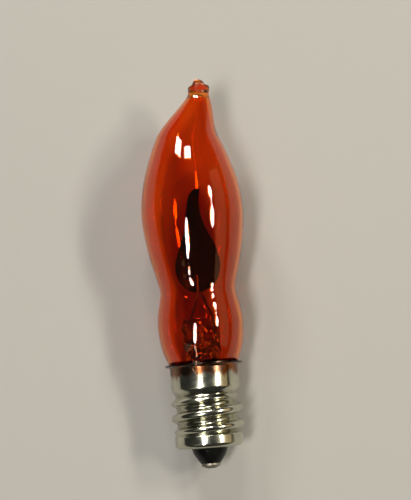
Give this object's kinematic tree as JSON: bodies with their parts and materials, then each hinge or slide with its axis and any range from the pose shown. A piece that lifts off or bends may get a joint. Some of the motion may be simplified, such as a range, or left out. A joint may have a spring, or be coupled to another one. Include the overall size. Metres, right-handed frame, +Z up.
{
  "type": "flicker flame light bulb",
  "caption": "Orange-red glass neon bulb shaped like a bent candle flame, with flame-shaped metal plates inside and a small screw base, lying on its side.",
  "frame": {"origin": "middle of the lying bulb's footprint, on the surface that it rests on", "axes": "+Y towards the flame's tip, +Z up from the surface, which is where the flame's front faces, +X to the right of the flame seen from its front with the tip up"},
  "size_m": [0.0172, 0.0646, 0.0174],
  "materials": {
    "envelope_glass": "glossy, transparent orange-red",
    "stem_glass": "glossy, clear, rippled at the press",
    "plate_steel": "satin, near-black brown",
    "lead_wire": "satin, copper-tinted",
    "copper_wire": "bright copper",
    "shell_nickel": "bright nickel plate, slightly worn",
    "insulator_glass": "glossy, opaque black",
    "contact_brass": "satin",
    "solder": "satin, uneven",
    "resistor_ceramic": "matte, tan",
    "resistor_steel": "satin, tinned",
    "cement": "matte, tan"
  },
  "bodies": {
    "root": {"glass_envelope": "envelope_glass", "glass_stem": "stem_glass", "front_flame_plate": "plate_steel", "rear_flame_plate": "plate_steel", "front_lead_wire": "lead_wire", "rear_lead_wire": "lead_wire", "side_tail_wire": "copper_wire", "screw_shell": "shell_nickel", "base_insulator": "insulator_glass", "centre_contact": "contact_brass", "contact_solder": "solder", "side_solder": "solder", "joint_solder": "solder", "resistor_core": "resistor_ceramic", "resistor_upper_cap": "resistor_steel", "resistor_lower_cap": "resistor_steel", "resistor_upper_lead": "resistor_steel", "resistor_lower_lead": "resistor_steel", "basing_cement": "cement"}
  },
  "joints": []
}
